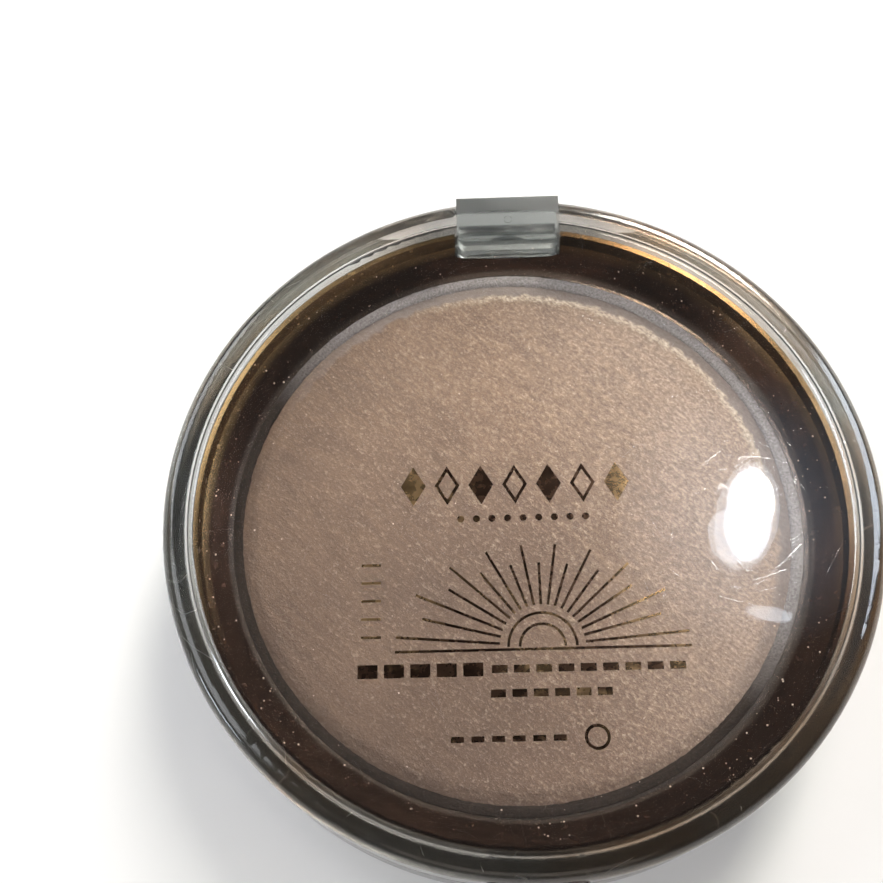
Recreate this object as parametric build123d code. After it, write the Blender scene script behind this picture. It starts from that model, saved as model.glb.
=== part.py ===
from build123d import *
import os
from math import cos, degrees, hypot, pi, radians, sin

# A round pressed-powder compact with a clear hinged lid, lying closed on its base.
# Millimetres. The origin is the centre of the base's underside, +Z goes up through the lid,
# the hinge is at the back (+Y) and the thumb tab is at the front (-Y).

# Driving dimensions
OUTER_R = 36.3            # outline of lid and base
HEIGHT = 14.5             # table to lid top
PARTING_Z = 8.6           # rim of the base, where the lid closes
PARTING_GAP = 0.12        # daylight left between lid skirt and base rim
HINGE_Y = 33.2            # hinge axis, parallel to X
HINGE_Z = 6.6
PIN_R = 0.75
PIN_CLEARANCE = 0.03      # running fit of the pin, radial
TRAY_R = 33.7             # outside of the tray's upright rim
MOUTH_R = 30.4            # inner edge of the tray's funnel
WELL_R = 29.75            # well that takes the pan
WELL_SHIFT_X = -0.4       # well, pan and powder lie slightly off centre
PAN_R = 29.5
PAN_RIM_Z = 6.9

# Lid
LID_TOP = 1.6             # thickness of the top plate
LID_WALL = 2.1            # thickness of the skirt
LID_EDGE_R = 1.6          # round along the top edge
LID_CORNER_R = 1.1        # inside round between plate and skirt
LID_UNDERSIDE = HEIGHT - LID_TOP
LID_RIM_Z = PARTING_Z + PARTING_GAP

# Hinge block of the lid: a solid block, a neck with a bell-shaped pocket, and a knuckle
BLOCK_WIDTH = 11.4
BLOCK_FRONT_Y = 31.0
BLOCK_BOTTOM_Z = 9.4
BLOCK_CORNER_R = 0.9
BLOCK_EDGE_R = 0.4        # round along the block's upper back edge
BELL_HEIGHT = 1.3         # the pocket's reach into the neck
BELL_HALF_WIDTH = 4.6
KNUCKLE_R = 1.8
KNUCKLE_WIDTH = 11.0
NECK_FRONT_Y = 31.7
EAR_LENGTH = 3.2
EAR_GAP = 0.2             # between knuckle and ear, each side
TURN_CLEARANCE = 0.15     # round everything that turns with the lid

# Thumb tab and latch
TAB_WIDTH = 9.4
TAB_REACH = 1.3           # how far the tab stands out of the outline
TAB_BOTTOM_Z = 5.2
TAB_TOP_Z = 12.4
TAB_GAP = 0.3             # between the tab and the recess it hangs in
TAB_SHELL = 0.9           # wall round the tab's hollow
RECESS_DEPTH = 1.4
RECESS_BOTTOM_Z = 3.4
BEAD_SHARE = 0.6          # length of nib and catch, as a share of the tab's width
NIB_Z = 6.4
NIB_R = 0.35
CATCH_Z = 7.3
CATCH_R = 0.2
CATCH_HEIGHT = 0.1        # how far the catch bead stands out of the recess
CREST_GAP = 0.1           # nib and catch pass each other with this much room

# Base
FLOOR = 1.6
BASE_INNER_R = 33.2
SEAT_Z = 7.8              # ledge that carries the tray's flange
SEAT_R = 33.9
BASE_EDGE_R = 2.0
HINGE_CUT_Z = 1.6         # the back of the base is cut flat above this height
BRIDGE_DEPTH = 2.2        # wall between the ears, under the knuckle
DISH_R = 31.4             # shallow dish under the base, inside the ring that it rests on
DISH_DEPTH = 0.5

# Tray
TRAY_TOP_Z = 11.4
TRAY_WALL = 0.9
TRAY_FLOOR_TOP = 3.65
FUNNEL_OUTER_R = 32.9
FUNNEL_OUTER_Z = 9.6
LIP_Z = 7.3               # where the funnel ends
LEDGE_DROP = 0.3          # bevel from there down to the flat ledge round the well

# Pan and powder
PAN_WALL = 0.35
PAN_DEPTH = 3.1
POWDER_GAP = 0.02
POWDER_EDGE_Z = 6.65
POWDER_SHOULDER = 1.5     # width of the sloping edge
POWDER_SHOULDER_Z = 7.15
POWDER_CROWN_Z = 7.35

# Foil print: a plain ornament, from the top row down to the last one
FOIL = 0.05
HAIRLINE = 0.26
LOZENGE_COUNT = 7
LOZENGE_PITCH = 3.4
LOZENGE_SIZE = (2.5, 4.2)
LOZENGE_ROW = (-0.6, 1.6)     # centre of the row
DOT_ROW = (0.1, -2.0)
SUN_CENTRE = (1.4, -15.0)     # middle of the horizon
SUN_R = 3.4
SUN_SPAN = (14.1, 10.2)       # half width and height of the fan of rays
RAY_COUNT = 19
TICK_X = -15.0
BOLD_ROW_Y = -17.1
THIN_ROW_Y = -19.4
LAST_ROW_Y = -23.6

# Small parts
LABEL_R = 13.0
LABEL_THICKNESS = 0.12
GLUE_DOT_R = 2.2
GLUE_DOTS = 5
GLUE_CIRCLE_R = 16.0


def upright(radius, bottom, top, x=0.0, y=0.0):
    """A cylinder that stands between two heights."""
    return Pos(x, y, (bottom + top) / 2) * Cylinder(radius, top - bottom)


def block(x_size, y_low, y_high, z_low, z_high):
    """A box centred on the mirror plane X = 0."""
    centre = Pos(0, (y_low + y_high) / 2, (z_low + z_high) / 2)
    return centre * Box(x_size, y_high - y_low, z_high - z_low)


def along_hinge(radius, length, x=0.0):
    """A cylinder on the hinge axis."""
    return Pos(x, HINGE_Y, HINGE_Z) * Rot(0, 90, 0) * Cylinder(radius, length)


def turned(profile):
    """Revolves a closed (radius, height) outline round the Z axis."""
    outline = Polyline(*[(radius, 0, height) for radius, height in profile], close=True)
    return revolve(make_face(outline.edges()), Axis.Z)


def circles_at(solid, radius, height):
    """The circular edges of a turned body at one radius and height."""
    found = []
    for edge in solid.edges().filter_by(GeomType.CIRCLE):
        close_in_height = abs(edge.center().Z - height) < 0.01
        if close_in_height and abs(edge.radius - radius) < 0.01:
            found.append(edge)
    return found


def ears():
    """The two barrels of the base that carry the pin, one each side of the knuckle."""
    offset = KNUCKLE_WIDTH / 2 + EAR_GAP + EAR_LENGTH / 2
    return [along_hinge(KNUCKLE_R, EAR_LENGTH, side * offset) for side in (-1, 1)]


def hinge_width():
    """Width over both ears."""
    return KNUCKLE_WIDTH + 2 * (EAR_GAP + EAR_LENGTH)


def lid_shell():
    shell = upright(OUTER_R, LID_RIM_Z, HEIGHT)
    shell = fillet(circles_at(shell, OUTER_R, HEIGHT), LID_EDGE_R)
    hollow = upright(OUTER_R - LID_WALL, LID_RIM_Z - 1, LID_UNDERSIDE)
    hollow = fillet(circles_at(hollow, OUTER_R - LID_WALL, LID_UNDERSIDE), LID_CORNER_R)
    shell -= hollow
    rim_edges = circles_at(shell, OUTER_R, LID_RIM_Z)
    return chamfer(rim_edges, 0.25)


def bell_pocket():
    """The pocket in the front of the neck, bell-shaped in plan, which thins the moulding."""
    left = (-BELL_HALF_WIDTH, NECK_FRONT_Y)
    right = (BELL_HALF_WIDTH, NECK_FRONT_Y)
    top = (0, NECK_FRONT_Y + BELL_HEIGHT)
    bell = Spline(left, top, right, tangents=[(1, 0), (1, 0)])
    plan = make_face([bell.edge(), Line(right, left).edge()])
    return extrude(plan, BLOCK_BOTTOM_Z + 0.3)


def hinge_block():
    body = block(BLOCK_WIDTH, BLOCK_FRONT_Y, OUTER_R, BLOCK_BOTTOM_Z, HEIGHT)
    front_corners = body.edges().filter_by(Axis.Z).sort_by(Axis.Y)[:2]
    body = fillet(front_corners, BLOCK_CORNER_R)
    top_back = body.edges().group_by(Axis.Z)[-1].sort_by(Axis.Y)[-1]
    body = fillet(top_back, BLOCK_EDGE_R)
    shoulder = block(BLOCK_WIDTH, HINGE_Y, OUTER_R, LID_RIM_Z, BLOCK_BOTTOM_Z)
    neck = block(KNUCKLE_WIDTH, NECK_FRONT_Y, HINGE_Y + KNUCKLE_R * 0.8, HINGE_Z, BLOCK_BOTTOM_Z)
    knuckle = along_hinge(KNUCKLE_R, KNUCKLE_WIDTH)
    return body + shoulder + neck + knuckle - bell_pocket()


def bead(radius, y, z):
    """A round bar across the front, which makes the nib of the latch and its catch."""
    return Pos(0, y, z) * Rot(0, 90, 0) * Cylinder(radius, TAB_WIDTH * BEAD_SHARE)


def thumb_tab():
    """The tab in front of the lid, hollowed from below, with the latch nib inside it."""
    front_y = -OUTER_R - TAB_REACH
    back_y = -OUTER_R + RECESS_DEPTH - TAB_GAP
    tab = block(TAB_WIDTH, front_y, back_y, TAB_BOTTOM_Z, TAB_TOP_Z)
    front_edges = tab.edges().filter_by(Axis.Z).sort_by(Axis.Y)[:2]
    tab = fillet(front_edges, 0.8)
    top_front = tab.edges().group_by(Axis.Z)[-1].sort_by(Axis.Y)[0]
    tab = fillet(top_front, 0.6)
    hollow_width = TAB_WIDTH - 2 * TAB_SHELL
    tab -= block(hollow_width, front_y + TAB_SHELL, back_y - TAB_SHELL, 0, TAB_TOP_Z - TAB_SHELL)
    crest_y = -OUTER_R + RECESS_DEPTH - CATCH_HEIGHT - CREST_GAP
    nib = bead(NIB_R, crest_y - NIB_R, NIB_Z)
    shell_inside = upright(OUTER_R - LID_WALL, LID_RIM_Z, LID_UNDERSIDE)
    return tab - shell_inside + nib


def lid():
    body = lid_shell() + hinge_block() + thumb_tab()
    body -= along_hinge(PIN_R + PIN_CLEARANCE, KNUCKLE_WIDTH + 1)
    gate_mark = upright(0.45, HEIGHT - 0.12, HEIGHT + 1, 0, HINGE_Y)
    return body - gate_mark


def base_shell():
    outer = upright(OUTER_R, 0, PARTING_Z)
    outer = fillet(circles_at(outer, OUTER_R, 0), BASE_EDGE_R)
    outer = chamfer(circles_at(outer, OUTER_R, PARTING_Z), 0.25)
    inside = upright(BASE_INNER_R, FLOOR, PARTING_Z + 1)
    seat = upright(SEAT_R, SEAT_Z, PARTING_Z + 1)
    dish = upright(DISH_R, -1, DISH_DEPTH)
    return outer - inside - seat - dish


def base():
    body = base_shell()
    width = hinge_width()
    # flat back, so that the lid's skirt can swing down behind the hinge
    body -= block(3 * OUTER_R, HINGE_Y, OUTER_R + 1, HINGE_CUT_Z, PARTING_Z + 1)
    bridge_top = HINGE_Z - KNUCKLE_R - TURN_CLEARANCE
    bridge = block(width, HINGE_Y - BRIDGE_DEPTH, HINGE_Y, FLOOR - 0.2, bridge_top)
    body += bridge
    web_x = KNUCKLE_WIDTH / 2 + EAR_GAP + EAR_LENGTH / 2
    for side in (-1, 1):
        web = block(EAR_LENGTH, HINGE_Y - KNUCKLE_R, HINGE_Y, bridge_top - 0.5, HINGE_Z)
        body += Pos(side * web_x, 0, 0) * web
    for ear in ears():
        body += ear & upright(OUTER_R, 0, HEIGHT)
    # room for the knuckle between the ears
    body -= along_hinge(KNUCKLE_R + TURN_CLEARANCE, KNUCKLE_WIDTH + 2 * EAR_GAP)
    body -= block(KNUCKLE_WIDTH + 2 * EAR_GAP, HINGE_Y - 2.6, OUTER_R + 1, HINGE_Z, PARTING_Z + 1)
    body -= along_hinge(PIN_R + PIN_CLEARANCE, width + 1)
    # recess that the thumb tab hangs in, with the catch bead across it
    recess_back = -OUTER_R + RECESS_DEPTH
    recess_width = TAB_WIDTH + 2 * TAB_GAP
    body -= block(recess_width, -OUTER_R - 1, recess_back, RECESS_BOTTOM_Z, PARTING_Z + 1)
    return body + bead(CATCH_R, recess_back + CATCH_R - CATCH_HEIGHT, CATCH_Z)


def tray():
    floor_bottom = TRAY_FLOOR_TOP - TRAY_WALL
    foot_inner = MOUTH_R - 0.6
    foot_outer = foot_inner + TRAY_WALL
    foot_bottom = FLOOR + 0.2
    ledge_z = LIP_Z - LEDGE_DROP
    rim_inner = TRAY_R - 0.7
    flange_inner = BASE_INNER_R - 0.5
    flange_z = SEAT_Z + 0.01
    body = turned([
        (0, floor_bottom),
        (foot_inner, floor_bottom),
        (foot_inner, foot_bottom),
        (foot_outer, foot_bottom),
        (foot_outer, LIP_Z - 0.6),
        (flange_inner, flange_z + 0.9),
        (flange_inner, flange_z),
        (TRAY_R, flange_z),
        (TRAY_R, TRAY_TOP_Z),
        (rim_inner, TRAY_TOP_Z),
        (FUNNEL_OUTER_R, FUNNEL_OUTER_Z),
        (MOUTH_R, LIP_Z),
        (MOUTH_R - LEDGE_DROP, ledge_z),
        (0, ledge_z),
    ])
    body -= upright(WELL_R, TRAY_FLOOR_TOP, HEIGHT, WELL_SHIFT_X)
    body = fillet(circles_at(body, TRAY_R, TRAY_TOP_Z), 0.25)
    body -= along_hinge(KNUCKLE_R + TURN_CLEARANCE, hinge_width() + 0.6)
    notch_y = NECK_FRONT_Y - TURN_CLEARANCE
    body -= block(BLOCK_WIDTH + 0.5, notch_y, OUTER_R, FLOOR, HEIGHT)
    return body


def pan():
    bottom = PAN_RIM_Z - PAN_DEPTH
    body = upright(PAN_R, bottom, PAN_RIM_Z)
    body = fillet(circles_at(body, PAN_R, bottom), 0.6)
    hollow = upright(PAN_R - PAN_WALL, bottom + PAN_WALL, PAN_RIM_Z + 1)
    hollow = fillet(circles_at(hollow, PAN_R - PAN_WALL, bottom + PAN_WALL), 0.4)
    return Pos(WELL_SHIFT_X, 0, 0) * (body - hollow)


def powder():
    """The pressed cake: flat below, a sloping shoulder and a slightly crowned top."""
    bottom = PAN_RIM_Z - PAN_DEPTH + PAN_WALL + POWDER_GAP
    edge_r = PAN_R - PAN_WALL - POWDER_GAP
    shoulder_r = edge_r - POWDER_SHOULDER
    low_centre = (0, 0, bottom)
    low_inner = (edge_r - 0.5, 0, bottom)
    low_outer = (edge_r, 0, bottom + 0.5)
    edge = (edge_r, 0, POWDER_EDGE_Z)
    shoulder = (shoulder_r, 0, POWDER_SHOULDER_Z)
    crown = (0, 0, POWDER_CROWN_Z)
    lines = [
        Line(low_centre, low_inner),
        Line(low_inner, low_outer),
        Line(low_outer, edge),
        Line(edge, shoulder),
        TangentArc(crown, shoulder, tangent=(1, 0, 0)),
        Line(crown, low_centre),
    ]
    cake = revolve(make_face([line.edge() for line in lines]), Axis.Z)
    return Pos(WELL_SHIFT_X, 0, 0) * cake


def hinge_pin():
    pin = along_hinge(PIN_R, hinge_width() - 0.6)
    return chamfer(pin.edges().filter_by(GeomType.CIRCLE), 0.15)


def glue_dots(circle_r, dot_r, bottom, top, count, x=0.0):
    """Hot-melt dots on a circle and one in the middle, as one group."""
    dots = [upright(dot_r, bottom, top, x, 0)]
    for step in range(count):
        turn = 2 * pi * step / count + pi / 2
        dots.append(upright(dot_r, bottom, top, x + circle_r * cos(turn), circle_r * sin(turn)))
    return Compound(children=dots)


def pan_glue():
    pan_bottom = PAN_RIM_Z - PAN_DEPTH
    return glue_dots(GLUE_CIRCLE_R, GLUE_DOT_R, TRAY_FLOOR_TOP, pan_bottom, GLUE_DOTS, WELL_SHIFT_X)


def tray_glue():
    """Blobs between the tray's floor and the base's floor."""
    tray_underside = TRAY_FLOOR_TOP - TRAY_WALL
    return glue_dots(22.0, 2.6, FLOOR, tray_underside, 3)


def base_label():
    return upright(LABEL_R, DISH_DEPTH - LABEL_THICKNESS, DISH_DEPTH)


def foil(plan):
    """A print raised by the foil's thickness on the lid's flat top."""
    return Pos(0, 0, HEIGHT) * extrude(plan, FOIL)


def half_ring(radius):
    """A thin semicircle over the sun's horizon, round the origin."""
    ring = Circle(radius) - Circle(radius - HAIRLINE)
    upper_half = Pos(0, radius) * Rectangle(3 * radius, 2 * radius)
    return ring & upper_half


def ray(turn, shorter):
    """A hairline from the sun out to an oval, round the origin."""
    half_width, height = SUN_SPAN
    inner = SUN_R + 0.7
    outer = 1 / hypot(cos(turn) / half_width, sin(turn) / height) - shorter
    line = Pos((inner + outer) / 2, 0) * Rectangle(outer - inner, HAIRLINE)
    return Rot(0, 0, degrees(turn)) * line


def print_sunburst():
    """Two nested semicircles, a fan of long and short rays, a horizon and a column of ticks."""
    plans = [half_ring(SUN_R), half_ring(SUN_R - 1.1)]
    for step in range(RAY_COUNT):
        turn = radians(180 * (step + 0.5) / RAY_COUNT)
        plans.append(ray(turn, 0 if step % 2 == 0 else 1.9))
    plans.append(Pos(0, -HAIRLINE) * Rectangle(2 * SUN_SPAN[0], HAIRLINE))
    pieces = [foil(Pos(*SUN_CENTRE) * plan) for plan in plans]
    for step in range(5):
        tick = Pos(TICK_X, -6.6 - 1.8 * step) * Rectangle(1.9, HAIRLINE)
        pieces.append(foil(tick))
    return Compound(children=pieces)


def lozenge(width, height):
    half_w, half_h = width / 2, height / 2
    corners = Polyline((half_w, 0), (0, half_h), (-half_w, 0), (0, -half_h), close=True)
    return make_face(corners.edges())


def spread(count, pitch):
    """Places of a row's items, centred on zero."""
    return [(step - (count - 1) / 2) * pitch for step in range(count)]


def print_lozenges():
    """An upper row of lozenges, every other one open, and a row of small dots below it."""
    pieces = []
    width, height = LOZENGE_SIZE
    row_x, row_y = LOZENGE_ROW
    for step, x in enumerate(spread(LOZENGE_COUNT, LOZENGE_PITCH)):
        plan = lozenge(width, height)
        if step % 2 == 1:
            plan -= lozenge(width - 0.75, height - 1.25)
        pieces.append(foil(Pos(row_x + x, row_y) * plan))
    for x in spread(9, 1.55):
        pieces.append(foil(Pos(DOT_ROW[0] + x, DOT_ROW[1]) * Circle(0.36)))
    return Compound(children=pieces)


def bar_row(centre_x, y, count, pitch, length, height):
    """A row of equal plain bars."""
    bar = Rectangle(length, height)
    return [foil(Pos(centre_x + x, y) * bar) for x in spread(count, pitch)]


def print_bars():
    """Rows of bars under the sun: bold ones, slim ones, a short row, and dashes with a ring."""
    pieces = bar_row(-10.3, BOLD_ROW_Y, 5, 2.5, 1.9, 1.3)
    pieces += bar_row(5.6, BOLD_ROW_Y, 9, 2.1, 1.5, 0.75)
    pieces += bar_row(2.0, THIN_ROW_Y, 6, 2.0, 1.4, 0.75)
    pieces += bar_row(-2.2, LAST_ROW_Y, 6, 1.9, 1.2, 0.55)
    ring = Circle(1.2) - Circle(0.9)
    pieces.append(foil(Pos(6.0, LAST_ROW_Y) * ring))
    return Compound(children=pieces)


NODES = {
    "lid": lid,
    "base": base,
    "tray": tray,
    "pan": pan,
    "powder": powder,
    "hinge_pin": hinge_pin,
    "pan_glue": pan_glue,
    "tray_glue": tray_glue,
    "base_label": base_label,
    "print_sunburst": print_sunburst,
    "print_lozenges": print_lozenges,
    "print_bars": print_bars,
}

os.makedirs("parts", exist_ok=True)
for name, make in NODES.items():
    export_step(make(), f"parts/{name}.step")
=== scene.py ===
import random
from math import atan2, cos, degrees, exp, hypot, pi, radians, sin, sqrt

import bmesh
import bpy
from mathutils import Matrix, Vector, noise


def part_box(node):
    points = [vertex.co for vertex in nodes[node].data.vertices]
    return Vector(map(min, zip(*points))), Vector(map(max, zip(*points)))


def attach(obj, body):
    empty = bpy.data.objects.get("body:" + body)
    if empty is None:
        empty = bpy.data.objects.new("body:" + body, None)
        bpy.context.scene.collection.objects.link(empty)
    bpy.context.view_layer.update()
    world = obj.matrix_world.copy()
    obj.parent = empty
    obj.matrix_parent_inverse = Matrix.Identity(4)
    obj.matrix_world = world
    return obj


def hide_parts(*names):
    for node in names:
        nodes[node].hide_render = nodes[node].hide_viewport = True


# A closed pressed-powder compact: clear lid and base, a dark metallised tray, a pan of
# pressed highlighting powder and a plain foil ornament on the lid.
# Meshes and lamps are in metres, and MM turns millimetres into metres. The materials, and
# the measures named below, are in millimetres unless they say otherwise.

MM = 0.001

# the camera
EYE = Vector((-5.87, -42.4, 127.1))
AIM = Vector((-7.94, 8.22, 10.5))
CAMERA_ROLL = radians(-3.69)
FOCAL_LENGTH = 48.9
SENSOR_WIDTH = 36
NEAREST_SEEN = 5

# the lamps
LAMP_AIM = (0, 0, 10)
WINDOW_REACH = 0.63  # from the lid to the window's cards, in metres

# Where a colour changes: it starts at the first value and is full at the second. A radius
# is taken from the compact's axis, and a height from the floor.
LID_EDGE_RADIUS = (33.9, 34.7)
BLOCK_Y = (30.4, 30.9)
BLOCK_SIDE = (5.75, 5.65)
BESIDE_BLOCK_Y = (28.0, 30.0)
BESIDE_BLOCK_SIDE = (17.0, 9.0)
TRAY_OUTSIDE_RADIUS = (33.45, 33.6)
TRAY_RIM_HEIGHT = (8.9, 9.8)
TRAY_LEDGE_HEIGHT = (7.6, 7.2)
TRAY_LEDGE_RADIUS = (30.9, 30.5)
PAN_RIM_HEIGHT = (6.3, 6.7)
LABEL_SOIL_RADIUS = (11.6, 13.0)
FLOOR_GLOW_RADIUS = (250, 900)

# the powder cake; its radii are taken from these centres
STROKE_TURN = radians(42)  # the brush strokes fall to the right by this much
CAKE_CENTRE = (-0.4, 0.0, 7.0)
USED_CENTRE = (-2.0, -6.0, 7.3)
USED_RADIUS = (13.0, 6.0)
SLOPE_RADIUS = (27.2, 27.6)
CREST_INSIDE = (26.5, 27.1)
CREST_OUTSIDE = (27.6, 27.2)
CAKE_SHOULDER = 1.5  # width of the sloping edge
SHOULDER_DROP = 0.20  # from the crown to the top of the slope
EDGE_DROP = 0.70  # from the crown to the foot of the slope
FOOT_BEVEL = 0.5
CRUMBLE_DEPTH = 0.075
TOP_RINGS = 78
SLOPE_RINGS = 14

# fineness of the meshes, and how much lies about
RING_STEPS = 420
GLUE_STEPS = 40
GLUE_LEVELS = 9
CRUMBS = 95
DUST_SPECKS = 170

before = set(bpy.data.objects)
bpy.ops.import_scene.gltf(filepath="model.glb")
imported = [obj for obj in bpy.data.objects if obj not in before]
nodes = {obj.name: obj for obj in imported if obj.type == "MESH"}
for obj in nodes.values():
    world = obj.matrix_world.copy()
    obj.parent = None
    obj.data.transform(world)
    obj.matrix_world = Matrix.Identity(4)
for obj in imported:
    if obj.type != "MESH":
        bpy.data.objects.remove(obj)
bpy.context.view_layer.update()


# ---------------------------------------------------------------- shader helpers

class Shader:
    """One material, called s below, and short names for the nodes that make its look."""

    def __init__(self, name):
        self.material = bpy.data.materials.new(name)
        self.material.use_nodes = True
        self.tree = self.material.node_tree
        self.surface = self.tree.nodes["Principled BSDF"]
        self.place = self.millimetres()

    def make(self, kind, inputs, **settings):
        """Adds a node; each input is a number, a colour or another node's output."""
        node = self.tree.nodes.new(kind)
        for name, value in settings.items():
            setattr(node, name, value)
        for key, value in inputs.items():
            if isinstance(value, bpy.types.NodeSocket):
                self.tree.links.new(value, node.inputs[key])
            else:
                node.inputs[key].default_value = value
        return node

    def millimetres(self):
        """The surface point in the object's own frame, in millimetres."""
        coordinates = self.make("ShaderNodeTexCoord", {}).outputs["Object"]
        return self.vector("MULTIPLY", coordinates, (1000, 1000, 1000))

    def vector(self, operation, first, second):
        node = self.make("ShaderNodeVectorMath", {0: first, 1: second}, operation=operation)
        return node.outputs["Vector"]

    def length(self, vector):
        return self.make("ShaderNodeVectorMath", {0: vector}, operation="LENGTH").outputs["Value"]

    def math(self, operation, first, second=0.0, clamp=False):
        inputs = {0: first, 1: second}
        node = self.make("ShaderNodeMath", inputs, operation=operation, use_clamp=clamp)
        return node.outputs[0]

    def times(self, first, second):
        return self.math("MULTIPLY", first, second)

    def along(self, axis):
        """The surface point's coordinate along one axis."""
        return self.part(self.place, axis)

    def from_axis(self):
        """The surface point's distance from the compact's axis."""
        return self.length(self.vector("MULTIPLY", self.place, (1, 1, 0)))

    def from_point(self, point):
        return self.length(self.vector("SUBTRACT", self.place, point))

    def moved(self, place, turn=0.0, scale=(1, 1, 1), shift=(0, 0, 0)):
        """The coordinates turned about Z, then stretched and shifted."""
        inputs = {"Vector": place, "Rotation": (0, 0, turn)}
        turned = self.make("ShaderNodeMapping", inputs).outputs["Vector"]
        return self.vector("ADD", self.vector("MULTIPLY", turned, scale), shift)

    def noise(self, scale, place=None, detail=3.0, roughness=0.5, distortion=0.0):
        """Noise whose features are about 1 / scale millimetres across."""
        inputs = {
            "Vector": self.place if place is None else place,
            "Scale": scale,
            "Detail": detail,
            "Roughness": roughness,
            "Distortion": distortion,
        }
        return self.make("ShaderNodeTexNoise", inputs).outputs["Fac"]

    def cells(self, scale):
        """A random colour for each cell; the cells are about 1 / scale millimetres across."""
        inputs = {"Vector": self.place, "Scale": scale}
        return self.make("ShaderNodeTexVoronoi", inputs).outputs["Color"]

    def remap(self, value, low, high, to_low=0.0, to_high=1.0):
        """Brings a value from one range to another and keeps it inside that range."""
        inputs = {"Value": value, 1: low, 2: high, 3: to_low, 4: to_high}
        return self.make("ShaderNodeMapRange", inputs).outputs["Result"]

    def mix(self, factor, first, second, blend="MIX"):
        node = self.make("ShaderNodeMix", {}, data_type="RGBA", blend_type=blend)
        for index, value in ((0, factor), (6, first), (7, second)):
            if isinstance(value, bpy.types.NodeSocket):
                self.tree.links.new(value, node.inputs[index])
            elif index == 0:
                node.inputs[0].default_value = value
            else:
                node.inputs[index].default_value = (*value, 1)
        return node.outputs[2]

    def part(self, vector, axis):
        """One coordinate of a vector."""
        return self.make("ShaderNodeSeparateXYZ", {0: vector}).outputs[axis]

    def bump(self, height, millimetres, strength=1.0, under=None):
        """A normal from a height of 0 to 1, on top of the normal given as under."""
        inputs = {"Height": height, "Distance": millimetres * MM, "Strength": strength}
        if under is not None:
            inputs["Normal"] = under
        return self.make("ShaderNodeBump", inputs).outputs["Normal"]

    def set(self, **values):
        """Sets the Principled shader: plain numbers on its sockets, outputs as links."""
        for name, value in values.items():
            socket = self.surface.inputs[name.replace("_", " ").title()]
            if isinstance(value, bpy.types.NodeSocket):
                self.tree.links.new(value, socket)
            elif isinstance(value, tuple):
                socket.default_value = (*value, 1)
            else:
                socket.default_value = value

    def scratches(self, turn, spacing, width, seed):
        """Fine long scratches: the level lines of a noise that is stretched along one way."""
        bent = self.noise(0.05, detail=1.0)
        shift = self.vector("MULTIPLY", self.colour_vector(bent), (0, 6, 0))
        warped = self.vector("ADD", self.place, shift)
        scale = (0.035, 1 / spacing, 1 / spacing)
        field = self.noise(1.0, self.moved(warped, turn, scale, (seed, seed, 0)), detail=0.5)
        distance = self.math("ABSOLUTE", self.math("SUBTRACT", field, 0.5))
        line = self.remap(distance, 0.0, width, 1.0, 0.0)
        patch_place = self.moved(self.place, turn, (0.12, 0.5, 0.5), (0, seed, seed))
        patches = self.remap(self.noise(1.0, patch_place), 0.55, 0.67)
        return self.times(line, patches)

    def round_about(self, along, across):
        """Coordinates that run round the compact's axis, for streaks along the rings."""
        forward = self.times(self.along("Y"), -1.0)
        angle = self.math("ARCTAN2", self.along("X"), forward)
        inputs = {
            0: self.times(angle, along),
            1: self.times(self.from_axis(), across),
            2: self.along("Z"),
        }
        return self.make("ShaderNodeCombineXYZ", inputs).outputs[0]

    def colour_vector(self, value):
        """The same number in all three coordinates."""
        return self.make("ShaderNodeCombineXYZ", {0: value, 1: value, 2: value}).outputs[0]


def paint(piece, shader):
    """Gives a piece one material."""
    piece.data.materials.clear()
    piece.data.materials.append(shader.material)
    for face in piece.data.polygons:
        face.material_index = 0


# ---------------------------------------------------------------- clear plastic

def moulded_normal(s, marks):
    """The faint long and short waves of the moulding, with its scratches on top."""
    waves = s.bump(s.noise(0.10, detail=1.0), 0.006)
    waves = s.bump(s.noise(0.45, detail=1.0), 0.0016, 1.0, waves)
    return s.bump(marks, 0.004, 0.6, waves)


def crossing_scratches(s):
    """Long scratches in four directions."""
    marks = s.scratches(0.5, 3.6, 0.004, 3.0)
    for turn, spacing, seed in ((1.35, 4.9, 11.0), (-0.4, 4.2, 23.0), (2.3, 5.4, 37.0)):
        marks = s.math("MAXIMUM", marks, s.scratches(turn, spacing, 0.0035, seed))
    return marks


def plastic_rim(s, edge_tint_and_shade):
    """How much of the thick rim a point is, and the rim's colour: dark, partly its own colour and
    partly painted shade, with browner patches and a browner front that are painted reflections of a
    dark brown surface seen through it.
    """
    # painted reflection: browner patches here, and a browner front below, stand for a dark brown
    # surface seen through the rim
    warm = tuple(part * share for part, share in zip(edge_tint_and_shade, (1.0, 0.72, 0.52)))
    colour = s.mix(s.remap(s.noise(0.035, detail=3.0), 0.50, 0.62), edge_tint_and_shade, warm)
    front = s.remap(s.along("Y"), 4.0, -20.0)
    colour = s.mix(s.times(front, 0.55), colour, (0.13, 0.105, 0.085))
    # adding front, which is 0 to 1, makes the rim a millimetre wider there
    at_rim = s.remap(s.math("ADD", s.from_axis(), front), *LID_EDGE_RADIUS)
    return at_rim, colour


def at_hinge(s, forward, sideways):
    """Full within a patch about the middle of the hinge, given the two ranges of its edges."""
    from_middle = s.math("ABSOLUTE", s.along("X"))
    return s.times(s.remap(s.along("Y"), *forward), s.remap(from_middle, *sideways))


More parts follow.
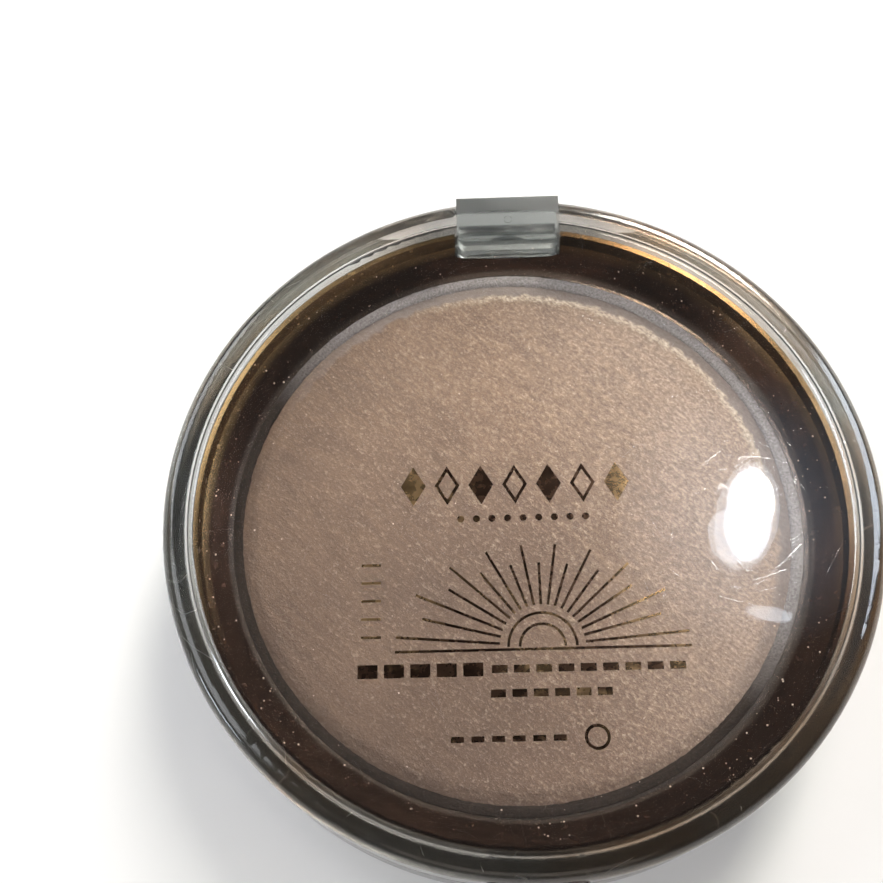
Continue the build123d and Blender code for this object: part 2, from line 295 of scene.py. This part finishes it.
def clear_plastic(name, tint, edge_tint_and_shade, wear):
    """Injection-moulded clear plastic: slightly wavy, with scratches and wiped smudges, and with
    painted shade that darkens its rim and its hinge block.
    """
    s = Shader(name)
    marks = crossing_scratches(s)
    at_rim, rim_colour = plastic_rim(s, edge_tint_and_shade)
    beside_block = at_hinge(s, BESIDE_BLOCK_Y, BESIDE_BLOCK_SIDE)
    in_block = at_hinge(s, BLOCK_Y, BLOCK_SIDE)
    colour = s.mix(at_rim, tint, rim_colour)
    # painted shade: the plastic beside the hinge block, and the block itself, are darkened to grey
    colour = s.mix(s.times(beside_block, 0.7), colour, (0.30, 0.31, 0.31))
    colour = s.mix(in_block, colour, (0.25, 0.265, 0.260))
    smudges = s.remap(s.noise(0.09, detail=4.0), 0.4, 0.7, 0.008, 0.045)
    roughness = s.math("ADD", smudges, s.times(marks, wear))
    roughness = s.math("ADD", roughness, s.times(at_rim, 0.13))
    roughness = s.math("ADD", roughness, s.times(in_block, 0.16))
    s.set(base_color=colour, roughness=roughness, normal=moulded_normal(s, marks))
    s.set(transmission_weight=1.0)
    s.surface.inputs["IOR"].default_value = 1.57
    lamps_through(s)
    return s


def lamps_through(s):
    """Lets the lamps' light reach what is behind the clear plastic."""
    clear = s.make("ShaderNodeBsdfTransparent", {"Color": (0.93, 0.94, 0.93, 1)})
    shadow_ray = s.make("ShaderNodeLightPath", {}).outputs["Is Shadow Ray"]
    inputs = {0: shadow_ray, 1: s.surface.outputs[0], 2: clear.outputs[0]}
    mixed = s.make("ShaderNodeMixShader", inputs)
    s.tree.links.new(mixed.outputs[0], s.tree.nodes["Material Output"].inputs["Surface"])


# ---------------------------------------------------------------- tray

def tray_brown(s, cloud, towards_back):
    """Dark brown with streaks along the rings, which are weaker in front; their growth towards the
    back is a painted sheen.
    """
    brown = s.mix(cloud, (0.022, 0.0105, 0.0060), (0.038, 0.0175, 0.0100))
    streaks = s.noise(1.0, s.round_about(7.0, 2.2), detail=5.0, roughness=0.7)
    # painted sheen: the streaks grow stronger towards the back
    share = s.remap(towards_back, 0.0, 1.0, 0.3, 0.7)
    return s.mix(s.times(s.remap(streaks, 0.48, 0.68), share), brown, (0.080, 0.041, 0.027))


def tray_gold(s, cloud):
    """Dull gold, with a painted highlight that makes it brighter on the left."""
    gold = s.mix(cloud, (0.080, 0.045, 0.019), (0.135, 0.080, 0.036))
    # painted highlight: brighter on the left
    return s.mix(s.remap(s.along("X"), 5.0, -15.0), gold, (0.32, 0.205, 0.095))


def tray_colour(s):
    """Brown, with a golden upright rim at the back, held there as a painted sheen, a greyer ledge
    that is a painted reflection, and a paler outside.
    """
    height = s.along("Z")
    radius = s.from_axis()
    cloud = s.noise(0.25, detail=4.0)
    towards_back = s.remap(s.along("Y"), -14.0, 8.0)
    # painted sheen: the rim is golden only towards the back
    golden = s.times(s.remap(height, *TRAY_RIM_HEIGHT), towards_back)
    colour = s.mix(golden, tray_brown(s, cloud, towards_back), tray_gold(s, cloud))
    # painted reflection: the ledge is made greyer
    at_ledge = s.times(s.remap(height, *TRAY_LEDGE_HEIGHT), s.remap(radius, *TRAY_LEDGE_RADIUS))
    colour = s.mix(s.times(at_ledge, 0.8), colour, (0.16, 0.125, 0.105))
    paler = s.mix(cloud, (0.16, 0.125, 0.10), (0.25, 0.20, 0.165))
    return s.mix(s.remap(radius, *TRAY_OUTSIDE_RADIUS), colour, paler)


def bronze_tray():
    """Metallised dark brown plastic with dust and scuffs."""
    s = Shader("bronze_tray")
    scuffs = s.math("MAXIMUM", s.scratches(0.9, 1.2, 0.012, 5.0), s.scratches(2.2, 1.5, 0.012, 17.0))
    dust = s.remap(s.noise(7.0, detail=2.0), 0.70, 0.74)
    colour = s.mix(s.times(scuffs, 0.12), tray_colour(s), (0.42, 0.33, 0.27))
    colour = s.mix(s.times(dust, 0.5), colour, (0.45, 0.36, 0.30))
    roughness = s.remap(s.noise(0.8, detail=4.0), 0.3, 0.7, 0.19, 0.28)
    roughness = s.math("ADD", roughness, s.times(dust, 0.4), clamp=True)
    normal = s.bump(s.noise(0.35, detail=2.0), 0.012, 0.6)
    normal = s.bump(scuffs, 0.004, 0.6, normal)
    s.set(base_color=colour, metallic=0.92, roughness=roughness, normal=normal)
    return s


# ---------------------------------------------------------------- powder

def towards_key(s):
    """Grows across the compact towards the key light, at its back and right."""
    return s.math("ADD", s.along("X"), s.times(s.along("Y"), 1.4))


def powder_tone(s):
    """Soft mottling with brush streaks, browner in front as painted shade, and browner where the
    cake is used.
    """
    mottle = s.noise(0.10, detail=6.0, roughness=0.62, distortion=1.0)
    streak_place = s.moved(s.place, STROKE_TURN, (0.20, 0.85, 0.85))
    streaks = s.noise(1.0, streak_place, detail=6.0, roughness=0.7, distortion=1.2)
    colour = s.mix(s.remap(mottle, 0.35, 0.65), (0.176, 0.102, 0.065), (0.262, 0.160, 0.104))
    colour = s.mix(s.remap(streaks, 0.42, 0.62, 0.0, 0.55), colour, (0.36, 0.225, 0.140))
    # painted shade: browner towards the front
    front = s.remap(s.along("Y"), 14.0, -26.0)
    colour = s.mix(s.times(front, 0.55), colour, (0.156, 0.087, 0.060))
    used = s.math("ADD", s.from_point(USED_CENTRE), s.remap(streaks, 0.3, 0.7, -4.0, 4.0))
    return s.mix(s.remap(used, *USED_RADIUS, 0.0, 0.38), colour, (0.156, 0.091, 0.064))


def powder_painted_light(s, colour, to_right):
    """Painted light on the powder: a painted sheen makes it paler on the right, and painted shade
    makes it duller on the left.
    """
    colour = s.mix(s.remap(to_right, 2.0, 20.0, 0.0, 0.32), colour, (0.46, 0.37, 0.32))
    return s.mix(s.remap(to_right, 20.0, -24.0), colour, (0.50, 0.47, 0.44), "MULTIPLY")


def powder_grain(s, colour, grain, coarse):
    """Painted shade in the dips of the brushed surface's grain, and painted highlights on its tops.
    """
    grain_shade = s.times(coarse, s.remap(grain, 0.58, 0.38, 0.0, 0.60))
    colour = s.mix(grain_shade, colour, (0.105, 0.062, 0.043))
    grain_highlight = s.times(coarse, s.remap(grain, 0.54, 0.70, 0.0, 0.55))
    return s.mix(grain_highlight, colour, (0.52, 0.39, 0.29))


def powder_shimmer(s, flake_tone):
    """Many small flakes and a few big ones; their pale colour is partly their own and partly painted
    glints.
    """
    flakes = s.remap(flake_tone, 0.70, 1.0)
    big_flakes = s.remap(s.part(s.cells(6.0), "Y"), 0.965, 1.0)
    return s.math("MAXIMUM", s.times(flakes, 0.12), s.times(big_flakes, 0.26))


def powder_edge(s, colour, grain):
    """Painted shade on the slope at the cake's edge and a broken painted highlight along the ridge
    above it, both on the side towards the key light.
    """
    ragged = s.remap(s.noise(0.8, detail=4.0), 0.3, 0.7, -0.3, 0.3)
    radius = s.math("ADD", s.from_point(CAKE_CENTRE), ragged)
    facing_key = towards_key(s)
    # painted shade on the slope, stronger towards the key light
    slope = s.times(s.remap(radius, *SLOPE_RADIUS), s.remap(facing_key, -8.0, 22.0, 0.05, 0.82))
    colour = s.mix(slope, colour, s.mix(grain, (0.150, 0.113, 0.101), (0.250, 0.203, 0.188)))
    # painted highlight along the ridge above the slope
    crest_highlight = s.times(s.remap(radius, *CREST_INSIDE), s.remap(radius, *CREST_OUTSIDE))
    crest_highlight = s.times(crest_highlight, s.remap(facing_key, 22.0, 40.0))
    crest_highlight = s.times(crest_highlight, s.remap(grain, 0.38, 0.62, 0.10, 0.75))
    return s.mix(crest_highlight, colour, (0.66, 0.55, 0.43))


def pressed_powder():
    """Rosy champagne powder: soft mottling, brush streaks and fine shimmer, with painted light and
    shade over them.
    """
    s = Shader("pressed_powder")
    to_right = s.math("ADD", s.along("X"), s.times(s.along("Y"), 0.2))
    # coarse grows to the right, where light falls: it strengthens the painted shade and highlights
    # of the grain and the flakes' painted glints
    coarse = s.remap(to_right, -22.0, 6.0, 0.40, 1.0)
    grain = s.noise(1.0, s.moved(s.place, STROKE_TURN, (1.9, 3.1, 3.1)), detail=4.0, roughness=0.75)
    flake_tone = s.part(s.cells(10.0), "X")
    shimmer = powder_shimmer(s, flake_tone)
    colour = powder_painted_light(s, powder_tone(s), to_right)
    colour = powder_grain(s, colour, grain, coarse)
    # the flakes' pale colour, partly painted glints, stronger on the right
    colour = s.mix(s.times(shimmer, coarse), colour, (0.66, 0.53, 0.42))
    colour = powder_edge(s, colour, grain)
    metal = s.math("ADD", s.times(shimmer, 0.5), 0.18)
    roughness = s.remap(shimmer, 0.0, 1.0, 0.72, 0.30)
    normal = s.bump(flake_tone, 0.010, 0.6, s.bump(grain, 0.13))
    s.set(base_color=colour, metallic=metal, roughness=roughness, normal=normal)
    return s


def settled_powder():
    """A fine film of powder, grey-mauve where the light falls on it and brown elsewhere."""
    s = Shader("settled_powder")
    speck = s.remap(s.noise(4.5, detail=4.0, roughness=0.7), 0.35, 0.65)
    dull = s.mix(speck, (0.012, 0.008, 0.006), (0.030, 0.019, 0.014))
    pale = s.mix(speck, (0.235, 0.198, 0.188), (0.450, 0.400, 0.390))
    colour = s.mix(s.remap(towards_key(s), -6.0, 26.0), dull, pale)
    s.set(base_color=colour, roughness=0.8, normal=s.bump(speck, 0.05))
    s.surface.inputs["Specular IOR Level"].default_value = 0.12
    return s


def loose_powder():
    """The same powder as crumbs: paler, matte and coarse."""
    s = Shader("loose_powder")
    speck = s.noise(9.0, detail=2.0)
    colour = s.mix(speck, (0.42, 0.31, 0.25), (0.66, 0.52, 0.43))
    s.set(base_color=colour, roughness=0.75, metallic=0.15, normal=s.bump(speck, 0.02))
    return s


# ---------------------------------------------------------------- small parts

def pan_metal():
    """Drawn tinplate with fine turning lines; its rim carries powder dust and painted shade that
    darken it.
    """
    s = Shader("pan_metal")
    ring_place = s.colour_vector(s.times(s.length(s.place), 6.0))
    rings = s.noise(1.0, ring_place, detail=3.0)
    dust_and_shade = s.remap(s.along("Z"), *PAN_RIM_HEIGHT)
    tint = s.mix(s.noise(0.3), (0.56, 0.53, 0.50), (0.70, 0.68, 0.65))
    # the rim's dark tint is partly powder dust and partly painted shade, darker than the powder
    # itself
    dust_and_shade_tint = s.mix(s.noise(2.5), (0.075, 0.053, 0.042), (0.12, 0.086, 0.068))
    tint = s.mix(dust_and_shade, tint, dust_and_shade_tint)
    roughness = s.remap(rings, 0.3, 0.7, 0.22, 0.42)
    roughness = s.math("ADD", roughness, s.times(dust_and_shade, 0.25))
    metal = s.remap(dust_and_shade, 0.0, 1.0, 1.0, 0.2)
    s.set(base_color=tint, metallic=metal, roughness=roughness, normal=s.bump(rings, 0.006))
    return s


def pin_steel():
    """Drawn steel wire with fine lines along it."""
    s = Shader("pin_steel")
    lines = s.noise(1.0, s.moved(s.place, 0.0, (0.4, 9, 9)), detail=3.0)
    tint = s.mix(lines, (0.42, 0.42, 0.43), (0.60, 0.60, 0.60))
    roughness = s.remap(lines, 0.3, 0.7, 0.25, 0.45)
    s.set(base_color=tint, metallic=1.0, roughness=roughness, normal=s.bump(lines, 0.004))
    return s


def hot_melt():
    """Waxy, slightly cloudy glue."""
    s = Shader("hot_melt")
    cloud = s.noise(0.9, detail=3.0)
    tint = s.mix(cloud, (0.62, 0.56, 0.42), (0.78, 0.74, 0.62))
    roughness = s.remap(cloud, 0.3, 0.7, 0.25, 0.45)
    s.set(base_color=tint, roughness=roughness, normal=s.bump(cloud, 0.08))
    s.set(subsurface_weight=0.25, subsurface_scale=1.2 * MM)
    return s


def label_paper():
    """Coated label stock with faint fibres and a lightly soiled edge."""
    s = Shader("label_paper")
    fibres = s.noise(1.0, s.moved(s.place, 0.3, (2.0, 7.0, 7.0)), detail=4.0, roughness=0.7)
    tint = s.mix(s.remap(fibres, 0.3, 0.7), (0.72, 0.71, 0.68), (0.82, 0.81, 0.78))
    soil = s.times(s.remap(s.length(s.place), *LABEL_SOIL_RADIUS), s.noise(0.9, detail=4.0))
    tint = s.mix(s.times(soil, 0.6), tint, (0.50, 0.46, 0.40))
    roughness = s.remap(fibres, 0.3, 0.7, 0.42, 0.6)
    s.set(base_color=tint, roughness=roughness, normal=s.bump(fibres, 0.01))
    return s


def foil_print():
    """Hot-stamped dark gold foil, with painted gold reflections in patches and towards the ends of
    its upper rows.
    """
    s = Shader("foil_print")
    # painted reflection: gold patches, and gold towards the ends of the upper rows
    variation = s.remap(s.noise(0.12, detail=5.0, roughness=0.65), 0.54, 0.70)
    from_middle = s.math("ABSOLUTE", s.along("X"))
    at_ends = s.times(s.remap(from_middle, 7.5, 11.0), s.remap(s.along("Y"), -15.0, -12.0))
    variation = s.math("MAXIMUM", variation, at_ends)
    tint = s.mix(variation, (0.070, 0.040, 0.026), (0.40, 0.26, 0.13))
    roughness = s.remap(s.noise(1.2, detail=3.0), 0.3, 0.7, 0.18, 0.34)
    normal = s.bump(s.noise(0.22, detail=2.0), 0.10, 0.6)
    normal = s.bump(s.noise(4.0, detail=2.0), 0.006, 0.6, normal)
    s.set(base_color=tint, metallic=1.0, roughness=roughness, normal=normal)
    return s


def pale_floor():
    """A matte pale sheet, which glows a little far away, where the lamps don't reach."""
    s = Shader("pale_floor")
    cloud = s.noise(0.02, detail=3.0)
    tint = s.mix(cloud, (0.91, 0.91, 0.92), (0.94, 0.94, 0.95))
    glow = s.remap(s.length(s.place), *FLOOR_GLOW_RADIUS, 0.0, 0.75)
    s.set(base_color=tint, roughness=0.75, normal=s.bump(s.noise(0.8), 0.02, 0.4))
    s.set(emission_color=(1, 1, 1), emission_strength=glow)
    return s


# ---------------------------------------------------------------- meshes

def new_piece(name, bm, body, smooth=True):
    """Turns a bmesh into a piece that rides on a CAD body."""
    mesh = bpy.data.meshes.new(name)
    bm.to_mesh(mesh)
    bm.free()
    for face in mesh.polygons:
        face.use_smooth = smooth
    piece = bpy.data.objects.new(name, mesh)
    bpy.context.scene.collection.objects.link(piece)
    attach(piece, body)
    return piece


def round_box(node):
    """The centre of a round node, with its radius, bottom and top in millimetres."""
    low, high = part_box(node)
    return (low + high) / 2, (high.x - low.x) / 2 / MM, low.z / MM, high.z / MM


def full_turn(steps):
    """The angles of a full turn in equal steps."""
    return [2 * pi * step / steps for step in range(steps)]


def ring(bm, centre, places):
    """A ring of evenly spaced vertices; each place is a radius and a height in millimetres."""
    verts = []
    for angle, (radius, height) in zip(full_turn(len(places)), places):
        x, y = radius * cos(angle) * MM, radius * sin(angle) * MM
        verts.append(bm.verts.new((centre.x + x, centre.y + y, height * MM)))
    return verts


def rings_to_faces(bm, rings):
    """Joins rings of vertices, each with the same count, by quads."""
    for lower, upper in zip(rings, rings[1:]):
        count = len(lower)
        for step in range(count):
            after = (step + 1) % count
            bm.faces.new((lower[step], lower[after], upper[after], upper[step]))


def cake_wear(x, y, radius, edge):
    """How far brush strokes and dents lower the cake, in millimetres."""
    along = x * cos(STROKE_TURN) - y * sin(STROKE_TURN)
    across = x * sin(STROKE_TURN) + y * cos(STROKE_TURN)
    swirl = noise.noise(Vector((x * 0.06, y * 0.06, 4.0))) * 3.0
    streak = noise.noise(Vector((along * 0.11, (across + swirl) * 0.75, 1.0)))
    fine_streak = noise.noise(Vector((along * 0.25, (across + swirl) * 2.4, 7.0)))
    dents = noise.fractal(Vector((x * 0.35, y * 0.35, 2.0)), 1.0, 2.0, 4)
    # fine radial lines in a band along the front edge
    angle = atan2(y, x)
    band_middle, band_width, lines_round = edge - 4.0, 1.6, 150
    in_band = exp(-((radius - band_middle) / band_width) ** 2) * max(0.0, -sin(angle)) ** 3
    lines = 0.014 * in_band * sin(angle * lines_round)
    return 0.055 + 0.040 * streak + 0.016 * fine_streak + 0.022 * dents + lines


def cake_profile(radius, edge):
    """How far the unused cake lies below its crown: a dome, then the sloping edge."""
    shoulder = edge - CAKE_SHOULDER
    if radius <= shoulder:
        return SHOULDER_DROP * (radius / shoulder) ** 2
    share = (radius - shoulder) / CAKE_SHOULDER
    return SHOULDER_DROP + (EDGE_DROP - SHOULDER_DROP) * share ** 1.3


def cake_drop(angle, radius, edge):
    """How far the used cake lies below its crown, with its crumbling slope."""
    x, y = radius * cos(angle), radius * sin(angle)
    on_slope = min(1.0, max(0.0, (radius - edge + CAKE_SHOULDER + 0.5) / 0.8))
    crumble = noise.fractal(Vector((x * 1.7, y * 1.7, 9.0)), 0.8, 2.1, 4)
    variation = cake_wear(x, y, radius, edge) + on_slope * CRUMBLE_DEPTH * (1 + crumble)
    return cake_profile(radius, edge) + variation


def powder_cake():
    """The pressed cake with its crowned top, crumbling shoulder and worn surface."""
    centre, edge, bottom, top = round_box("powder")
    shoulder = edge - CAKE_SHOULDER
    radii = [shoulder * sqrt(step / TOP_RINGS) for step in range(1, TOP_RINGS + 1)]
    radii += [shoulder + CAKE_SHOULDER * step / SLOPE_RINGS for step in range(1, SLOPE_RINGS + 1)]
    bm = bmesh.new()
    rings = []
    for radius in radii:
        places = [(radius, top - cake_drop(angle, radius, edge)) for angle in full_turn(RING_STEPS)]
        rings.append(ring(bm, centre, places))
    middle = bm.verts.new((centre.x, centre.y, (top - 0.05) * MM))
    for step in range(RING_STEPS):
        bm.faces.new((middle, rings[0][step], rings[0][(step + 1) % RING_STEPS]))
    # the hidden foot, with a small bevel
    for place in ((edge, bottom + FOOT_BEVEL), (edge - FOOT_BEVEL, bottom)):
        rings.append(ring(bm, centre, [place] * RING_STEPS))
    rings_to_faces(bm, rings)
    bm.faces.new(rings[-1])
    bmesh.ops.recalc_face_normals(bm, faces=bm.faces)
    piece = new_piece("powder_cake", bm, "base")
    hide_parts("powder")
    paint(piece, pressed_powder())


def rim_film():
    """Settled powder that bridges the pan's rim and the gap around it."""
    centre, rim, _, rim_z = round_box("pan")
    # distance outside the rim and height above it, in millimetres
    profile = (
        (-0.75, -0.25),
        (-0.30, 0.03),
        (0.05, 0.08),
        (0.30, 0.12),
        (0.45, 0.12),
        (0.45, -0.3),
        (-0.75, -0.3),
    )
    bm = bmesh.new()
    rings = []
    for index, (outward, up) in enumerate(profile):
        places = []
        for angle in full_turn(RING_STEPS):
            spot = Vector((cos(angle) * 40, sin(angle) * 40, index * 0.7))
            lump = noise.fractal(spot, 1.0, 2.0, 3)
            places.append((rim + outward + 0.05 * lump, rim_z + up + 0.02 * lump))
        rings.append(ring(bm, centre, places))
    rings_to_faces(bm, rings + rings[:1])
    bmesh.ops.recalc_face_normals(bm, faces=bm.faces)
    piece = new_piece("rim_film", bm, "base")
    paint(piece, settled_powder())


def add_crumb(bm, place, size, flatness, pick):
    """One lumpy grain; place and size in metres."""
    made = bmesh.ops.create_icosphere(bm, subdivisions=2, radius=size)
    seed = Vector((pick.uniform(0, 99), pick.uniform(0, 99), pick.uniform(0, 99)))
    for vert in made["verts"]:
        lump = 1 + 0.45 * noise.noise(vert.co / size * 1.1 + seed)
        vert.co = Vector((vert.co.x * lump, vert.co.y * lump, vert.co.z * lump * flatness)) + place


def tray_crumbs():
    """Loose powder that has fallen on the funnel of the tray and on its lip."""
    pick = random.Random(41)
    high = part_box("tray")[1]
    outer, top = high.x / MM, high.z / MM
    funnel_outer, funnel_inner = outer - 0.8, outer - 3.3
    funnel_top, funnel_bottom = top - 1.8, top - 4.1
    hinge_half_width = 7
    bm = bmesh.new()
    for _ in range(CRUMBS):
        angle = pick.uniform(0, 2 * pi)
        share = pick.random() ** 1.6
        radius = funnel_inner + (funnel_outer - funnel_inner) * share
        x, y = radius * cos(angle), radius * sin(angle)
        if abs(x) < hinge_half_width and y > 0:
            continue
        size = pick.uniform(0.035, 0.10)
        height = funnel_bottom + (funnel_top - funnel_bottom) * share + size * 0.55
        add_crumb(bm, Vector((x, y, height)) * MM, size * MM, 0.8, pick)
    piece = new_piece("tray_crumbs", bm, "base")
    paint(piece, loose_powder())


def lid_dust():
    """Specks of dust and powder on top of the lid, flatter than the foil is thick."""
    pick = random.Random(7)
    surface_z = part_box("print_bars")[0].z
    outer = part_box("lid")[1].x - 2.2 * MM
    lift = 0.004 * MM
    tallest = 0.022 * MM
    bm = bmesh.new()
    for _ in range(DUST_SPECKS):
        angle = pick.uniform(0, 2 * pi)
        radius = outer * sqrt(pick.random())
        size = pick.uniform(0.02, 0.055) * MM
        if pick.random() < 0.08:
            size *= 2.0
        place = Vector((radius * cos(angle), radius * sin(angle), surface_z + lift))
        add_crumb(bm, place, size, min(0.5, tallest / size), pick)
    piece = new_piece("lid_dust", bm, "lid")
    paint(piece, loose_powder())


def solid_mesh(node):
    """A CAD node's mesh as a bmesh with its corners joined."""
    bm = bmesh.new()
    bm.from_mesh(nodes[node].data)
    bmesh.ops.remove_doubles(bm, verts=bm.verts, dist=0.001 * MM)
    return bm


def foil_pieces():
    """The foil ornament: the CAD outlines, pressed a little into the lid's surface."""
    shader = foil_print()
    for node in ("print_sunburst", "print_lozenges", "print_bars"):
        low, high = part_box(node)
        bm = solid_mesh(node)
        for vert in bm.verts:
            is_below = vert.co.z < (low.z + high.z) / 2
            vert.co.z -= (0.02 if is_below else 0.015) * MM
        piece = new_piece(node.replace("print", "foil"), bm, "lid", smooth=False)
        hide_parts(node)
        paint(piece, shader)


def islands(node):
    """The boxes of a node's separate solids, as (low, high) corners."""
    bm = solid_mesh(node)
    left = set(bm.verts)
    found = []
    while left:
        stack = [left.pop()]
        group = []
        while stack:
            vert = stack.pop()
            group.append(vert.co.copy())
            for edge in vert.link_edges:
                other = edge.other_vert(vert)
                if other in left:
                    left.remove(other)
                    stack.append(other)
        low = Vector(min(co[axis] for co in group) for axis in range(3))
        high = Vector(max(co[axis] for co in group) for axis in range(3))
        found.append((low, high))
    bm.free()
    return sorted(found, key=lambda corners: tuple(corners[0]))


def add_blob(bm, low, high, seed):
    """A bulging, uneven blob of glue inside a box."""
    centre = (low + high) / 2
    radius = (high.x - low.x) / 2 / MM
    lift = 0.02
    rings = []
    for level in range(GLUE_LEVELS):
        share = level / (GLUE_LEVELS - 1)
        bulge = 0.86 + 0.14 * sin(pi * share)
        height = (low.z + (high.z - low.z) * share) / MM + lift
        places = []
        for angle in full_turn(GLUE_STEPS):
            lump = 1 + 0.10 * noise.noise(Vector((cos(angle), sin(angle), seed)) * 1.4)
            places.append((radius * bulge * min(1.0, lump * 0.95), height))
        rings.append(ring(bm, centre, places))
    rings_to_faces(bm, rings)
    bm.faces.new(rings[0])
    bm.faces.new(rings[-1])


def glue_blobs():
    """Squeezed blobs of hot-melt glue between the tray and the base's floor."""
    pick = random.Random(13)
    bm = bmesh.new()
    for low, high in islands("tray_glue"):
        add_blob(bm, low, high, pick.uniform(0, 50))
    bmesh.ops.recalc_face_normals(bm, faces=bm.faces)
    piece = new_piece("glue_blobs", bm, "base")
    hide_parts("tray_glue")
    paint(piece, hot_melt())


# ---------------------------------------------------------------- the stage

def facing(direction, roll):
    """The rotation of a camera or lamp that looks along a direction, rolled about it."""
    look = direction.to_track_quat("-Z", "Y").to_matrix()
    return (look @ Matrix.Rotation(roll, 3, "Z")).to_4x4()


def area_light(name, azimuth, rise, reach, size, power, colour, aim=LAMP_AIM, spin=0.0, spread=180):
    """A soft card of light, placed by its direction and distance (degrees, metres) from the
    point that it faces (millimetres); spin turns the card about its own axis."""
    target = Vector(aim) * MM
    turn, lift = radians(azimuth), radians(rise)
    direction = Vector((cos(lift) * cos(turn), cos(lift) * sin(turn), sin(lift)))
    data = bpy.data.lights.new(name, "AREA")
    data.energy = power
    data.color = colour
    data.shape = "RECTANGLE"
    data.size, data.size_y = size
    data.spread = radians(spread)
    lamp = bpy.data.objects.new(name, data)
    place = Matrix.Translation(target + direction * reach)
    lamp.matrix_world = place @ facing(-direction, radians(spin))
    bpy.context.scene.collection.objects.link(lamp)
    return lamp


def window_card(name, spot, size, spin, power, colour, spread=180):
    """A small card of light, placed where the flat lid mirrors it at a spot (millimetres)."""
    spot = Vector((*spot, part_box("print_bars")[0].z / MM))
    sight = EYE - spot
    azimuth = degrees(atan2(-sight.y, -sight.x))
    rise = degrees(atan2(sight.z, hypot(sight.x, sight.y)))
    card = area_light(name, azimuth, rise, WINDOW_REACH, size, power, colour, spot, spin, spread)
    card.data.shape = "ELLIPSE"
    card.visible_diffuse = False


def floor():
    """A flat sheet, just below the compact."""
    half_width = 1.5
    gap = 0.05 * MM
    bm = bmesh.new()
    bmesh.ops.create_grid(bm, x_segments=1, y_segments=1, size=half_width)
    for vert in bm.verts:
        vert.co.z = -gap
    mesh = bpy.data.meshes.new("floor")
    bm.to_mesh(mesh)
    bm.free()
    ground = bpy.data.objects.new("floor", mesh)
    bpy.context.scene.collection.objects.link(ground)
    ground.data.materials.append(pale_floor().material)


def studio_world():
    """Dim overhead and pale at the horizon, like a room with a pale sweep around the floor."""
    world = bpy.data.worlds.new("studio")
    world.use_nodes = True
    tree = world.node_tree
    background = tree.nodes["Background"]
    background.inputs["Color"].default_value = (1.0, 0.97, 0.94, 1)
    direction = tree.nodes.new("ShaderNodeTexCoord").outputs["Generated"]
    split = tree.nodes.new("ShaderNodeSeparateXYZ")
    tree.links.new(direction, split.inputs[0])
    fade = tree.nodes.new("ShaderNodeMapRange")
    fade.inputs["From Min"].default_value = 0.05
    fade.inputs["From Max"].default_value = 0.22
    fade.inputs["To Min"].default_value = 0.80
    fade.inputs["To Max"].default_value = 0.08
    tree.links.new(split.outputs["Z"], fade.inputs["Value"])
    tree.links.new(fade.outputs["Result"], background.inputs["Strength"])
    bpy.context.scene.world = world


def lights():
    """A key light at the back, weak fills round about, and a window in the lid's mirror."""
    white, warm, rosy = (1, 1, 1), (1.0, 0.95, 0.87), (1.0, 0.86, 0.76)
    cool, bluish, sky = (0.93, 0.96, 1.0), (0.80, 0.88, 1.0), (0.6, 0.78, 1.0)
    area_light("key_back_right", 66, 36, 0.55, (0.15, 0.20), 3.3, warm)
    area_light("fill_back_left", 140, 34, 0.60, (0.30, 0.25), 1.2, cool)
    side_right = area_light("side_right", 28, 37, 0.45, (0.20, 0.24), 1.7, bluish)
    side_left = area_light("side_left", 185, 46, 0.50, (0.30, 0.24), 0.8, cool)
    area_light("front_low", 268, 33, 0.60, (0.50, 0.22), 0.25, rosy)
    front_fill = area_light("front_fill", 240, 50, 0.60, (0.40, 0.30), 1.2, white)
    area_light("low_left", 199, 12, 0.50, (0.12, 0.06), 0.30, bluish)
    area_light("sparkle_back", 66, 30, 0.50, (0.045, 0.03), 0.10, white)
    # the side lamps only make glints, and the front fill makes none
    side_right.visible_diffuse = False
    side_left.visible_diffuse = False
    front_fill.visible_glossy = False
    front_fill.visible_transmission = False
    # nested cards that make one bright window with a soft edge
    window_card("window_glow", (21.8, -2.2), (0.150, 0.200), 25, 0.00035, sky, 13)
    window_card("window_heart", (22.7, -2.3), (0.023, 0.047), 21, 0.110, white)
    window_card("window_top", (23.4, -0.5), (0.021, 0.034), 44, 0.030, white)
    window_card("window_wide", (22.5, -2.2), (0.028, 0.058), 28, 0.024, bluish)
    window_card("window_edge", (22.2, -2.5), (0.037, 0.066), 20, 0.012, bluish)
    window_card("window_low", (20.3, -4.6), (0.025, 0.034), 48, 0.0055, bluish)
    window_card("window_foot", (23.2, -12.3), (0.026, 0.008), 32, 0.0018, bluish)


def camera():
    """Close above the compact, leaning a little towards its front."""
    data = bpy.data.cameras.new("camera")
    data.lens = FOCAL_LENGTH
    data.sensor_width = SENSOR_WIDTH
    data.clip_start = NEAREST_SEEN * MM
    eye = bpy.data.objects.new("camera", data)
    place = Matrix.Translation(EYE * MM)
    eye.matrix_world = place @ facing(AIM * MM - EYE * MM, CAMERA_ROLL)
    bpy.context.scene.collection.objects.link(eye)
    bpy.context.scene.camera = eye
    bpy.context.scene.view_settings.view_transform = "Standard"


# ---------------------------------------------------------------- put together

# the base's dark tint is painted shade, standing for dark surroundings seen through it; the dark
# edge tints of lid and base are partly the thick plastic's own colour and partly that painted shade
paint(nodes["lid"], clear_plastic("clear_lid", (0.965, 0.98, 0.975), (0.56, 0.56, 0.53), 0.20))
paint(nodes["base"], clear_plastic("clear_base", (0.30, 0.30, 0.28), (0.30, 0.29, 0.26), 0.22))
paint(nodes["tray"], bronze_tray())
paint(nodes["pan"], pan_metal())
paint(nodes["hinge_pin"], pin_steel())
paint(nodes["pan_glue"], hot_melt())
paint(nodes["base_label"], label_paper())
powder_cake()
rim_film()
tray_crumbs()
lid_dust()
foil_pieces()
glue_blobs()
floor()
studio_world()
lights()
camera()
